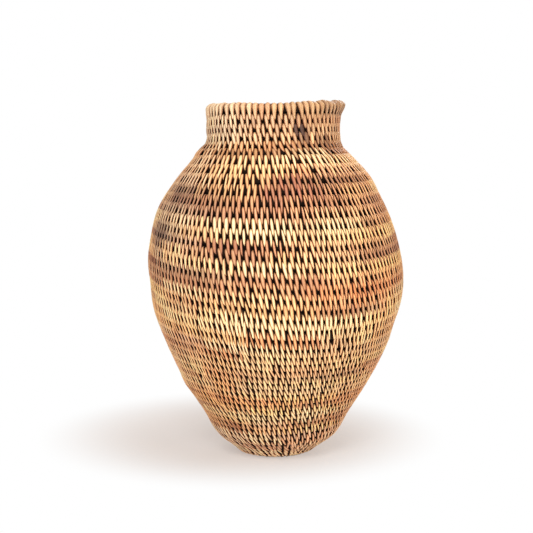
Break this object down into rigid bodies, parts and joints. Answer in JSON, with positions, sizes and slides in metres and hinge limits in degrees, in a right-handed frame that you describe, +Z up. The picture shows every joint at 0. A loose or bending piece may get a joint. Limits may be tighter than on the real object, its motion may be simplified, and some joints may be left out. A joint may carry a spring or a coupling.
{
  "type": "woven basket",
  "caption": "Tall coiled basket vase with a round belly, short neck and bound rim, hand-sewn in a fine open stitch.",
  "frame": {"origin": "middle of the flat underside, on the surface that the basket stands on", "axes": "+Z up through the mouth; the pictured side faces -Y, with its left at -X"},
  "size_m": [0.2208, 0.2208, 0.3063],
  "materials": {
    "base_splint": "dusty split root, greyed where it meets the floor",
    "lower_wall_splint": "golden tan split root, faint sheen",
    "belly_splint": "tan to straw split root in bands, faint sheen",
    "shoulder_splint": "tan split root with darker brown patches",
    "neck_splint": "pale beige split root, matte",
    "rim_splint": "wide pale beige wraps, matte",
    "foundation_rod": "dark brown stem, seen only between the stitches"
  },
  "bodies": {
    "root": {"start_knot": "base_splint", "base_coil": "base_splint", "foot_coil": "base_splint", "lower_wall_coil_1": "lower_wall_splint", "lower_wall_coil_2": "lower_wall_splint", "lower_wall_coil_3": "lower_wall_splint", "belly_coil_1": "belly_splint", "belly_coil_2": "belly_splint", "belly_coil_3": "belly_splint", "belly_coil_4": "belly_splint", "shoulder_coil_1": "shoulder_splint", "shoulder_coil_2": "shoulder_splint", "neck_coil": "neck_splint", "rim_coil": "foundation_rod", "rim_binding": "rim_splint"}
  },
  "joints": []
}
